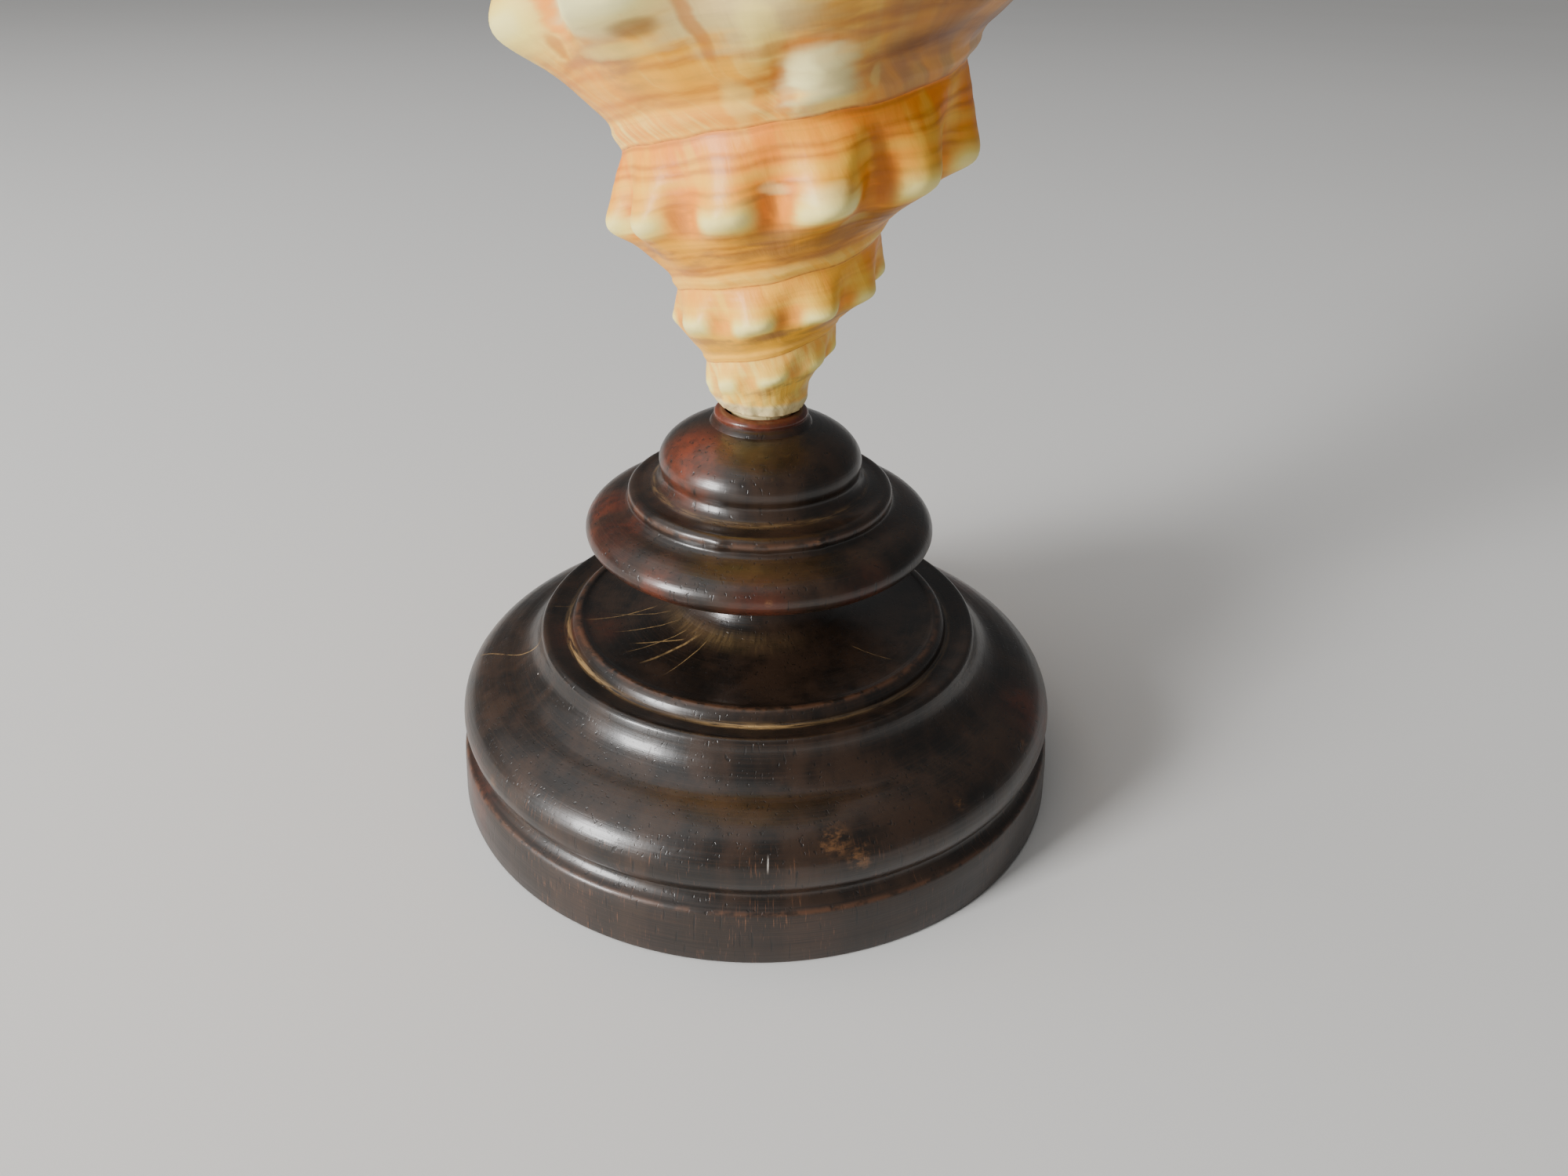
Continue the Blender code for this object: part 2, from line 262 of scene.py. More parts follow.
colour = blend(colour, BROWN_WOOD, lathe_marks.ramp(0.50, 0.68) * 0.5 + plinth_part * 0.4)


def spot(place, middle, size):
    """1 in the middle of a patch, falling to 0 at its size, both in metres."""
    return place.node("ShaderNodeVectorMath", {"operation": "DISTANCE"},
                      {0: place, 1: middle}, output=1).ramp(size, size * 0.25)


# Where the wood is worn to its own red: the dome's left side, the ring's left end and underside, the collar
RED_PATCHES = [((-0.0090, -0.0068, 0.0465), 0.0075, 1.0), ((-0.0185, -0.0095, 0.0370), 0.0075, 1.0),
               ((-0.0200, -0.0020, 0.0360), 0.0070, 0.8), ((-0.012, -0.0170, 0.0340), 0.0070, 0.6),
               ((0.000, -0.0205, 0.0335), 0.0065, 0.5), ((0.012, -0.0170, 0.0335), 0.0060, 0.4),
               ((0.0, 0.0, 0.0512), 0.0072, 0.8), ((-0.022, -0.0060, 0.0232), 0.0060, 0.35),
               ((0.036, -0.0130, 0.0135), 0.0080, 0.6), ((0.014, 0.014, 0.0350), 0.012, 0.7),
               ((0.0, 0.012, 0.0470), 0.009, 0.7), ((0.030, 0.022, 0.0100), 0.016, 0.5),
               ((-0.020, 0.031, 0.0080), 0.014, 0.5), ((-0.0335, -0.0170, 0.0070), 0.009, 0.35)]
red = radius * 0.0
for middle, size, share in RED_PATCHES:
    red = red.greater(spot(at, middle, size) * share)
red = red * (0.25 + 0.75 * worn.ramp(0.38, 0.60)) * (0.55 + 0.45 * mottle.ramp(0.38, 0.58))
colour = blend(colour, RED_WOOD, red)
colour = blend(colour, BLACK_WOOD, pores * 0.8)
ticks = fine_grain.ramp(0.63, 0.74) * worn.ramp(0.46, 0.60)
tick_rows = cloud(bring(around * 230.0, z * 420.0, 0.0), 1.0, 2.0, 0.5).ramp(0.60, 0.70)
tick_rows = tick_rows * worn.ramp(0.42, 0.58)
colour = blend(colour, WORN_EDGE, tick_rows * (plinth_part + radius.near(0.0385, 0.0016)) * 0.5)
streak_rows = cloud(bring(around * 3.0, z * 6500.0, 3.0), 1.0, 2.0, 0.6)
colour = blend(colour, BLACK_WOOD, streak_rows.ramp(0.50, 0.64) * plinth_part * 0.6)
colour = blend(colour, BLACK_WOOD, ticks * z.near(0.0338, 0.0022) * 0.7)

# Old wax: a thin streaky line in the groove, thickest on the left and in front, a trace at the neck's foot
streaky = cloud(bring(around * 6.0, radius * 3800.0, z * 3800.0), 1.0, 3.0, 0.65)
groove_share = 0.16 + 0.84 * around.near(-2.66, 0.62).greater(around.near(-1.60, 0.34))
groove_wax = radius.near(0.02500, 0.00055) * z.near(0.0218, 0.0008) * groove_share
groove_wax = groove_wax * streaky.ramp(0.36, 0.58)
radial = cloud(bring(around * 26.0, radius * 300.0, 0.0), 1.0, 3.0, 0.6)
neck_wax = radius.ramp(0.0142, 0.0105) * z.near(0.0240, 0.0016) * around.near(-2.1, 1.3)
neck_wax = neck_wax * (0.45 + 0.55 * radial.ramp(0.42, 0.66))
hollow_wax = radius.near(0.0132, 0.0005) * z.near(0.0413, 0.0007) * 0.2 * streaky.ramp(0.40, 0.62)
wax = groove_wax * 0.8 + neck_wax * 0.24 + hollow_wax
colour = blend(colour, OLD_WAX, wax)


def hairline(start, end, width):
    """A thin scratch seen from above, from start to end, in metres."""
    run = Vector(end) - Vector(start)
    across = ((x - start[0]) * (-run.y) + (y - start[1]) * run.x) / run.length
    along = ((x - start[0]) * run.x + (y - start[1]) * run.y) / run.length_squared
    return abs(across).ramp(width, width * 0.3) * along.ramp(0.0, 0.12) * along.ramp(1.0, 0.7)


# A fan of scratches at the neck's left side, and two hairlines further left
SCRATCHES = [
    ((-0.0070, -0.0092), (-0.0151, -0.0142), 0.00024), ((-0.0090, -0.0097), (-0.0163, -0.0094), 0.00014),
    ((-0.0085, -0.0080), (-0.0172, -0.0117), 0.00010), ((-0.0095, -0.0060), (-0.0190, -0.0068), 0.00009),
    ((-0.0130, -0.0016), (-0.0236, -0.0045), 0.00012), ((-0.0105, -0.0040), (-0.0200, -0.0022), 0.00008),
    ((-0.0060, -0.0102), (-0.0118, -0.0168), 0.00009), ((0.0115, -0.0100), (0.0172, -0.0128), 0.00007)]
LONG_SCRATCHES = [
    ((-0.0376, -0.0008), (-0.0330, -0.0036), 0.00013), ((-0.0334, -0.0034), (-0.0270, -0.0059), 0.00011),
    ((-0.0277, 0.0003), (-0.0248, 0.0014), 0.00012)]
scratched = radius * 0.0
for start, end, width in SCRATCHES:
    scratched = scratched + hairline(start, end, width) * z.near(0.0234, 0.0013)
for start, end, width in LONG_SCRATCHES:
    scratched = scratched + hairline(start, end, width) * z.near(0.0187, 0.0055)
scratched = scratched * (0.45 + 0.55 * fine_grain.ramp(0.35, 0.55))
colour = blend(colour, OLD_WAX, scratched * 0.5)

# Scuffs through to paler wood, a few nicks, and rare specks of dust
SCUFFS = [((0.0084, -0.0362, 0.0150), 0.0026), ((0.0113, -0.0367, 0.0133), 0.0022),
          ((0.0231, -0.0298, 0.0148), 0.0011), ((-0.0043, -0.0163, 0.0407), 0.0008),
          ((0.0068, -0.0152, 0.0405), 0.0007), ((0.0014, -0.0114, 0.0464), 0.0004),
          ((0.0011, -0.0217, 0.0362), 0.0006), ((0.0320, -0.0190, 0.0150), 0.0018),
          ((-0.0310, -0.0230, 0.0120), 0.0012)]
scuffed = radius * 0.0
for middle, size in SCUFFS:
    scuffed = scuffed.greater(spot(at, middle, size))
scratchy = cloud(stretched(at, 1.0, 1.0, 2.2), 900.0, 4.0, 0.75)
torn = (mottle * 0.4 + scratchy * 0.6).ramp(0.44, 0.62)
colour = blend(colour, SCUFFED_WOOD, scuffed * torn * 0.55)
nick = x.near(0.0013, 0.00015) * z.near(0.0136, 0.0011) * y.ramp(0.0, -0.03)
colour = blend(colour, DUST, nick * 0.6)
dots = at.node("ShaderNodeTexVoronoi", {}, {"Vector": at, "Scale": 330.0})
chosen = dots.node("ShaderNodeSeparateColor", {}, {0: Wire(wire.tree, dots.socket.node.outputs["Color"])})
specks = dots.ramp(0.050, 0.028) * chosen.ramp(0.86, 0.88)
colour = blend(colour, DUST, specks * 0.5)

# Edges rubbed to a redder brown: radius and its reach, height and its reach
RUBBED_EDGES = [(0.0394, 0.0006, 0.0071, 0.0005), (0.0236, 0.0006, 0.0232, 0.0005),
                (0.0165, 0.0004, 0.0404, 0.0007)]
edge_wear = radius * 0.0
for edge_radius, out_reach, edge_height, up_reach in RUBBED_EDGES:
    edge_wear = edge_wear + radius.near(edge_radius, out_reach) * z.near(edge_height, up_reach)
colour = blend(colour, WORN_EDGE, edge_wear * mottle.ramp(0.40, 0.56) * 0.35)
collar_part = z.ramp(0.0497, 0.0502) * radius.ramp(0.0068, 0.0062)
colour = blend(colour, RED_WOOD, collar_part * (0.45 + 0.4 * mottle.ramp(0.35, 0.55)))
rough = 0.22 + 0.10 * worn + 0.14 * turning + 0.30 * wax + 0.18 * scratched
rough = rough + 0.15 * specks + 0.10 * plinth_part
wire.tree.links.new(colour.socket, shader.inputs["Base Color"])
wire.tree.links.new(rough.socket, shader.inputs["Roughness"])
relief = turning * 0.45 + lathe_marks * 0.25 + fine_grain * 0.30 - pores * 0.5 + wax * 0.8
bumped(shader, wire, relief, 0.00004)
stand.data.materials.append(rosewood)
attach(stand, "root")
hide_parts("stand")


# The shell. A horse conch grown as one piece of lime, wound to the right round its own axis and set tip
# down, a little askew, in the collar's socket. Polished, cream and orange, with paired brown spiral lines.
# A rise is a height over the whorl's size, and a slope, outline or thickness is over that size too
GROWTH = 1.595
SUTURE_HEIGHT = 15.1
SUTURE_SLOPE = 0.414
LIP_TURN = 3.03
FIRST_TURN = LIP_TURN - 108 / 22
TIP_HEIGHT = 4.2
TIP_SLOPE = 0.395
CANAL_END = 2.48
OUTLINE = [(1.0, 0.414), (1.08, 0.458), (1.15, 0.532), (1.23, 0.611), (1.3, 0.645), (1.4, 0.658),
           (1.595, 0.66), (1.7, 0.637), (1.8, 0.585), (1.9, 0.51), (2.0, 0.42), (2.1, 0.33),
           (2.2, 0.246), (2.3, 0.185), (2.4, 0.142), (CANAL_END, 0.12)]

# Knobs: at which turn each numbered one sits, and how far they stand out over the whorl's face
KNOB_PLACES = [(-2.0, -20.0), (-0.86, -9.0), (-0.725, -8.0), (-0.597, -7.0), (-0.02, 0.0), (0.12, 1.0),
               (0.232, 2.0), (0.337, 3.0), (0.425, 4.0), (1.045, 10.0), (1.115, 11.0), (1.212, 12.0),
               (1.297, 13.0), (1.388, 14.0), (1.475, 15.0), (2.04, 20.0), (3.03, 28.5)]
KNOB_SECTION = [(1.08, 0.0), (1.2, 0.26), (1.3, 1.0), (1.4, 0.66), (1.57, 0.0)]
KNOB_RISE = 1.3
KNOB_HEIGHT = 0.085
GAP_DEPTH = 0.022
KNOB_DROOP = 0.25
KNOB_CLIMB = 0.005

# What sets this shell apart from the plain winding, in millimetres: its crust, higher sutures, waviness
CRUST_BULGE = 0.8
RIGHT_LIFT = 0.85
RIGHT_LIFT_TOP = 90.0
TIP_LIFT = 1.0
TIP_LIFT_TOP = 17.0
UNEVEN_HEIGHT = 0.35
COLLAR_HEIGHT = COLLAR_TOP - APEX_HEIGHT
THREAD_STEP = 0.058

# The mouth: walls, corners, and how many turns it reaches inwards
LIP_THICKNESS = 0.03
WALL_THICKNESS = 0.056
CANAL_THICKNESS = 0.034
WALL_GROWS_OVER = 0.035
MOUTH_CORNER = 1.06
PARIETAL_CORNER = 1.72
MOUTH_DEPTH = 0.62
CANAL_DEPTH = 0.24
PILLAR_SECTION = [(1.85, 0.0), (2.0, 0.34), (2.1, 0.64), (2.2, 0.78), (2.3, 0.86), (CANAL_END, 0.88)]
PILLAR_SWING = 0.42
CANAL_BEND = 3.5

# How finely the faces are divided
ROWS_A_TURN = 220
SIDE_COLUMNS = 44
CORNER_COLUMNS = 8
BASE_COLUMNS = 48
DEPTH_ROWS = 64
ROUND_COLUMNS = 6
ROUND_RISE = 0.017
ROUND_INSET = 0.9
EDGE_COLUMNS = 8
SEAM_GAP = 0.02
LIP_COLUMNS = SIDE_COLUMNS + CORNER_COLUMNS + BASE_COLUMNS
WHOLE = SUTURE_HEIGHT * GROWTH ** LIP_TURN

draw = random.Random(7)
KNOB_SIZES = {number: draw.uniform(0.82, 1.12) for number in range(-40, 31)}
KNOB_SIZES.update({1: 0.95, 2: 1.12, 3: 1.1, 10: 1.05, 11: 0.85, 12: 0.95, 13: 1.25, 14: 0.95, 15: 1.05,
                   20: 1.1})


def ease(value):
    """Go smoothly from 0 to 1."""
    value = min(max(value, 0.0), 1.0)
    return value * value * (3.0 - 2.0 * value)


def along(points, x):
    """Read a smooth curve through points (x, y), held level past its ends."""
    if x <= points[0][0]:
        return points[0][1]
    if x >= points[-1][0]:
        return points[-1][1]
    step = max(i for i, point in enumerate(points) if point[0] <= x)
    before, start, end, after = neighbours(points, step)
    width = end[0] - start[0]
    slope_in = (end[1] - before[1]) / (end[0] - before[0]) * width
    slope_out = (after[1] - start[1]) / (after[0] - start[0]) * width
    t = (x - start[0]) / width
    rise = end[1] - start[1]
    bend = slope_in + slope_out - 2 * rise
    return start[1] + t * (slope_in + t * (rise - slope_in - bend + t * bend))


def straight(points, x):
    """Read the straight lines through points (x, y)."""
    step = max([i for i, point in enumerate(points[:-1]) if point[0] <= x], default=0)
    (x0, y0), (x1, y1) = points[step], points[step + 1]
    return y0 + (y1 - y0) * (x - x0) / (x1 - x0)


def knob_share(turn):
    """1 on a knob's middle, 0 in the gap between two, and the size of that knob."""
    number = straight(KNOB_PLACES, turn)
    across = 1.0 - abs(math.sin(math.pi * (number - round(number)))) ** 2.5
    return across, KNOB_SIZES[round(number)]


def knob_rise(turn):
    """The height of the knobs on their whorl; they sit higher on the small whorls."""
    return KNOB_RISE + KNOB_CLIMB * (2.0 - min(turn, 2.0)) ** 2


def on_knob_section(turn, rise):
    """Stretch the whorl's face so that its knobs, wherever they sit, read the one knob section."""
    crest = knob_rise(turn)
    if rise < crest:
        return 1.0 + (KNOB_RISE - 1.0) * (rise - 1.0) / (crest - 1.0)
    return KNOB_RISE + (GROWTH - KNOB_RISE) * (rise - crest) / (GROWTH - crest)


def wound(turn, rise):
    """How much of the growth reaches this height: all on the whorls, none at the canal's end."""
    return GROWTH ** ((turn - LIP_TURN) * (1.0 - ease((rise - 1.85) / (CANAL_END - 1.85))))


def relief_at(turn, height):
    """How strongly the whorl's own form shows: flatter on the small whorls, none inside the collar."""
    return min(1.0, 0.84 + 0.2 * (turn - 0.25)) * ease((height - COLLAR_HEIGHT - 0.2) / 1.6)


def between_sutures(turn, rise):
    """1 on a whorl's face, 0 on both its sutures; the last whorl has none above it."""
    upper = ease((GROWTH - rise) / 0.05)
    upper += (1.0 - upper) * ease((turn - LIP_TURN + 1.0) / 0.08)
    return ease((rise - 1.0) / 0.05) * upper


def fine_form(turn, rise):
    """Spiral threads, growth wrinkles and the cord below the suture, over the whorl's size."""
    threads = 0.0016 * (0.5 + 0.5 * math.cos(2 * math.pi * rise / THREAD_STEP)) * ease((rise - 1.3) / 0.2)
    cords = 0.0036 * (0.5 + 0.5 * math.cos(math.pi * rise / THREAD_STEP)) * ease((rise - 1.55) / 0.3)
    cords *= 1.0 - 0.5 * ease((rise - 2.2) / 0.2)
    slant = turn + 0.10 * (rise - 1.3)
    wrinkles = 0.0024 * noise.noise(Vector((slant * 46.0, rise * 3.0, 0.3)))
    wrinkles += 0.0012 * noise.noise(Vector((slant * 130.0, rise * 5.0, 7.1)))
    uneven = 0.006 * noise.noise(Vector((slant * 7.0, rise * 4.0, 3.7)))
    hem = 0.012 * math.exp(-((rise - 1.03) / 0.018) ** 2)
    return (threads + cords + wrinkles + uneven + hem) * between_sutures(turn, rise)


# A healed swelling on the last whorl's ramp, beside a groove
SWELLING_TURN, SWELLING_RISE = 2.288, 1.068


def swelling(turn, rise):
    """The swelling's bump and the groove at its side, over the whorl's size."""
    across = (turn - SWELLING_TURN) / 0.030
    up = (rise - SWELLING_RISE) / 0.080
    bump = math.exp(-(abs(across) ** 2.6 + abs(up) ** 2.6))
    groove_across = (turn - SWELLING_TURN + 0.034) / 0.010
    groove_up = (rise - SWELLING_RISE - 0.02) / 0.10
    groove = math.exp(-(groove_across ** 2 + groove_up ** 2))
    return (0.060 * bump - 0.020 * groove) * ease((rise - 1.0) / 0.04)


def section(turn, rise, knobs=1.0):
    """Radius and height of the whorl's outside, in millimetres about the shell's axis."""
    size = WHOLE * wound(turn, rise)
    height = size * rise
    relief = relief_at(turn, height)
    free = ease((height - 10.0) / 2.5)
    groove = 0.012 * (1.0 + math.cos(2 * math.pi * (rise - 1.0) / (GROWTH - 1.0)))
    cone = rise * (free * SUTURE_SLOPE + (1.0 - free) * (TIP_SLOPE - groove))
    bulge = 0.0
    if knobs:
        share, strength = knob_share(turn)
        bulge = KNOB_HEIGHT * strength * share - GAP_DEPTH * (1.0 - share)
        bulge *= along(KNOB_SECTION, on_knob_section(turn, rise))
    radius = cone + relief * (along(OUTLINE, rise) - rise * SUTURE_SLOPE + bulge)
    if knobs:
        radius += relief * (fine_form(turn, rise) + swelling(turn, rise))
    pillar = along(PILLAR_SECTION, rise) * (1.0 - ease((turn - LIP_TURN + 1.0) / PILLAR_SWING))
    return size * radius * (1.0 - pillar), height - size * KNOB_DROOP * relief * max(bulge, 0.0)


def place(turn, radius, height):
    """A point of the shell by its turn, its radius and its height above the apex."""
    angle = math.pi * (2.0 * turn - 1.0)
    bend = CANAL_BEND * ease((height / WHOLE - 1.9) / (CANAL_END - 1.9)) ** 2
    free = ease((height - COLLAR_HEIGHT) / 3.4)
    small_whorls_lift = TIP_LIFT * free * (1.0 - ease((height - TIP_LIFT_TOP) / 10.0))
    to_the_right = 1.0 - math.cos(2 * math.pi * (turn - 0.05))
    lift = RIGHT_LIFT * free * to_the_right * (1.0 - ease((height - RIGHT_LIFT_TOP) / 40.0))
    lift += small_whorls_lift
    radius += SUTURE_SLOPE * small_whorls_lift
    above = height - COLLAR_HEIGHT
    if 0.0 < above < 4.0:
        on_crust = Vector((math.cos(angle) * 5.0, math.sin(angle) * 5.0, above * 0.8))
        rough_edge = 0.75 + 0.5 * noise.noise(on_crust)
        radius += CRUST_BULGE * rough_edge * ease(above / 0.25) * (1.0 - ease((above - 0.9) / 1.1))
    point = Vector((radius * math.cos(angle) - bend, radius * math.sin(angle), height + lift))
    point.z += UNEVEN_HEIGHT * free * noise.noise(point * 0.22)
    return point


def canal_rounding(rise):
    """How far the wall's edge is rounded at the canal's end: 0 below it, 1 at the very end."""
    over = min(max((rise - CANAL_END + ROUND_RISE) / ROUND_RISE, 0.0), 1.0)
    return 1.0 - math.sqrt(1.0 - over * over)


def outside(turn, rise):
    """A point of the shell's outer face."""
    radius, height = section(turn, rise)
    return place(turn, radius - ROUND_INSET * canal_rounding(rise), height)


def lining(turn, rise):
    """The inner face of the outer wall, as far in from the outside as the wall is thick."""
    size = WHOLE * wound(turn, rise)
    wall = WALL_THICKNESS + (CANAL_THICKNESS - WALL_THICKNESS) * ease((rise - 1.8) / 0.5)
    thickness = LIP_THICKNESS + (wall - LIP_THICKNESS) * ease((LIP_TURN - turn) / WALL_GROWS_OVER)
    radius, height = section(turn, rise, knobs=0.0)
    radius_on, height_on = section(turn, rise + 0.01, knobs=0.0)
    across = Vector((height - height_on, radius_on - radius)).normalized() * size * thickness
    return place(turn, radius + across.x + ROUND_INSET * canal_rounding(rise), height + across.y)


def side_rise(column):
    """Heights from one suture to the next."""
    return 1.0 + (GROWTH - 1.0) * column / SIDE_COLUMNS


def base_rise(column):
    """Heights from the suture to the mouth's corner, then on to the canal's end."""
    if column <= CORNER_COLUMNS:
        return GROWTH + (PARIETAL_CORNER - GROWTH) * column / CORNER_COLUMNS
    beyond = (column - CORNER_COLUMNS) / (BASE_COLUMNS - ROUND_COLUMNS)
    if beyond <= 1.0:
        return PARIETAL_CORNER + (CANAL_END - ROUND_RISE - PARIETAL_CORNER) * beyond
    over = (column - CORNER_COLUMNS - BASE_COLUMNS + ROUND_COLUMNS) / ROUND_COLUMNS
    return CANAL_END - ROUND_RISE * (1.0 - math.sin(math.pi / 2 * over))


def lip_rise(column):
    """Heights along the whole lip, from the suture to the canal's end."""
    return side_rise(column) if column <= SIDE_COLUMNS else base_rise(column - SIDE_COLUMNS)


def depth(share, column):
    """Turns behind the lip: deep in the mouth, shallow in the canal."""
    canal = ease((column / BASE_COLUMNS - 0.45) / 0.4)
    return share * (MOUTH_DEPTH + (CANAL_DEPTH - MOUTH_DEPTH) * canal)


# Three slanting folds on the pillar, fine ridges inside the outer lip, and the lip's scalloped edge
FOLDS = [(1.965, 0.75), (2.045, 0.9), (2.12, 0.7)]
FOLD_WIDTH = 0.021
RIDGE_HEIGHT = 0.22
SCALLOP_HEIGHT = 0.22


def open_pillar(share, column):
    """The wall on the pillar's side of the mouth, before the mouth narrows inwards."""
    rise = base_rise(column + CORNER_COLUMNS)
    behind = depth(share, column)
    point = outside(LIP_TURN - 1.0 - behind, rise)
    across = Vector((point.x, point.y, 0.0)).normalized()
    for fold, height in FOLDS:
        crest = (rise - fold + 0.22 * behind) / FOLD_WIDTH
        point += across * height * math.exp(-crest * crest) * ease((behind - 0.012) / 0.05)
    return point


def open_lining(share, column):
    """The lip's side of the mouth, before the mouth narrows inwards; its first column is the corner."""
    facing = column * BASE_COLUMNS / LIP_COLUMNS
    rise = lip_rise(column)
    into_corner = max(0.0, 1.0 - (rise - 1.0) / 0.12)
    turn = LIP_TURN - depth(share, facing)
    shift = open_pillar(share, 0.0) - lining(LIP_TURN - depth(share, 0.0), MOUTH_CORNER)
    point = lining(turn, rise + (MOUTH_CORNER - 1.0) * into_corner) + shift * into_corner
    ridge = RIDGE_HEIGHT * (0.5 + 0.5 * math.cos(2 * math.pi * rise / THREAD_STEP)) ** 1.5
    ridge *= ease((rise - 1.12) / 0.1) * ease((2.2 - rise) / 0.2)
    ridge *= ease(share / 0.03) * (1.0 - ease((share - 0.35) / 0.4))
    return point - Vector((point.x, point.y, 0.0)).normalized() * ridge


def middle(share, column):
    """Where the two sides of the mouth meet at its end."""
    return (open_pillar(share, column) + open_lining(share, round(column * LIP_COLUMNS / BASE_COLUMNS))) / 2


def narrowed(share, point, column):
    """Draw a point of the mouth's wall to where both sides meet, all the way at the mouth's end."""
    still_open = math.sqrt(1.0 - share ** 3)
    meeting = middle(share, column)
    return meeting + (point - meeting) * still_open


def pillar_side(share, column):
    return narrowed(share, open_pillar(share, column), column)


def lip_side(share, column):
    return narrowed(share, open_lining(share, column), round(column * BASE_COLUMNS / LIP_COLUMNS))


def lip_edge(across, column):
    """The rounded, slightly scalloped edge of the lip. It starts flush on the whorl below."""
    if column == 0:
        return outside(LIP_TURN - 1.0, base_rise(across * CORNER_COLUMNS))
    rise = lip_rise(column)
    outer = outside(LIP_TURN, rise)
    inner = open_lining(0.0, column)
    forward = Vector((0.0, 0.0, 1.0)).cross(Vector((outer.x, outer.y, 0.0))).normalized()
    clear = ease((rise - 1.0) / 0.12)
    start, end = (outside(LIP_TURN - 1.0, base_rise(column_there)) for column_there in (0, CORNER_COLUMNS))
    over_whorl = outside(LIP_TURN - 1.0, base_rise(across * CORNER_COLUMNS)) - start.lerp(end, across)
    rounded = math.sin(math.pi * across)
    swell = 0.45 * (outer - inner).length * rounded * clear
    scallop = SCALLOP_HEIGHT * math.cos(2 * math.pi * rise / THREAD_STEP) * ease((2.2 - rise) / 0.2)
    scallop *= clear * rounded
    return outer.lerp(inner, across) + over_whorl * (1.0 - clear) + forward * (swell + scallop)


def callus(turn, rise):
    """How far the glaze beside the mouth covers the whorl: 1 on the inner lip, 0 past its edge."""
    width = 0.035 + 0.055 * ease((rise - 1.65) / 0.25) * (1.0 - 0.6 * ease((rise - 2.05) / 0.3))
    width *= 1.0 + 0.15 * noise.noise(Vector((rise * 14.0, 2.2, 0.0)))
    past_suture = ease((rise - GROWTH) / (PARIETAL_CORNER - GROWTH))
    return past_suture * (1.0 - ease((turn - LIP_TURN + 1.0) / width - 0.5))


def patch(name, rows, columns, point_at, winding_at, mouth_at):
    """A flat grid whose points move to point_at(row, column), with the winding as its UV map."""
    bpy.ops.object.select_all(action="DESELECT")
    bpy.ops.mesh.primitive_grid_add(x_subdivisions=rows, y_subdivisions=columns, size=1.0, calc_uvs=True)
    made = bpy.context.object
    made.name = name
    mesh = made.data
    mouth = mesh.attributes.new("mouth", "FLOAT", "POINT")
    knobs = mesh.attributes.new("knob", "FLOAT", "POINT")
    places = [(round((v.co.x + 0.5) * rows), round((v.co.y + 0.5) * columns)) for v in mesh.vertices]
    for vertex, (row, column) in zip(mesh.vertices, places):
        vertex.co = point_at(row, column)
        turn, rise = winding_at(row, column)
        mouth.data[vertex.index].value = mouth_at(row, column)
        share, strength = knob_share(turn)
        knobs.data[vertex.index].value = share * strength
    winding = mesh.uv_layers.active
    winding.name = "winding"
    for loop in mesh.loops:
        winding.data[loop.index].uv = winding_at(*places[loop.vertex_index])
    return made


side_rows = round((LIP_TURN - FIRST_TURN) * ROWS_A_TURN)
patches = [
    patch("sides", side_rows, SIDE_COLUMNS,
          lambda row, column: outside(FIRST_TURN + row / ROWS_A_TURN, side_rise(column)),
          lambda row, column: (FIRST_TURN + row / ROWS_A_TURN, side_rise(column)),
          lambda row, column: 0.0),
    patch("base", ROWS_A_TURN, CORNER_COLUMNS + BASE_COLUMNS,
          lambda row, column: outside(LIP_TURN - 1.0 + row / ROWS_A_TURN, base_rise(column)),
          lambda row, column: (LIP_TURN - 1.0 + row / ROWS_A_TURN, base_rise(column)),
          lambda row, column: callus(LIP_TURN - 1.0 + row / ROWS_A_TURN, base_rise(column))),
    patch("pillar_wall", DEPTH_ROWS, BASE_COLUMNS,
          lambda row, column: pillar_side(row / DEPTH_ROWS, column),
          lambda row, column: (LIP_TURN - 1.0 - depth(row / DEPTH_ROWS, column),
                               base_rise(column + CORNER_COLUMNS)),
          lambda row, column: 1.0 + row / DEPTH_ROWS),
    patch("lip_wall", DEPTH_ROWS, LIP_COLUMNS,
          lambda row, column: lip_side(row / DEPTH_ROWS, column),
          lambda row, column: (LIP_TURN - depth(row / DEPTH_ROWS, column * BASE_COLUMNS / LIP_COLUMNS),
                               lip_rise(column)),
          lambda row, column: 1.0 + row / DEPTH_ROWS),
    patch("lip_edge", EDGE_COLUMNS, LIP_COLUMNS,
          lambda row, column: lip_edge(row / EDGE_COLUMNS, column),
          lambda row, column: (LIP_TURN, lip_rise(column)),
          lambda row, column: ease(row / EDGE_COLUMNS)),
]
bpy.ops.object.select_all(action="DESELECT")
for piece in patches:
    piece.select_set(True)
shell = patches[0]
bpy.context.view_layer.objects.active = shell
bpy.ops.object.join()
shell.name = "conch_shell"

bpy.ops.object.mode_set(mode="EDIT")
bpy.ops.mesh.select_all(action="SELECT")
bpy.ops.mesh.remove_doubles(threshold=SEAM_GAP)
bpy.ops.mesh.select_all(action="DESELECT")
bpy.ops.mesh.select_non_manifold()
bpy.ops.mesh.edge_face_add()
bpy.ops.object.mode_set(mode="OBJECT")

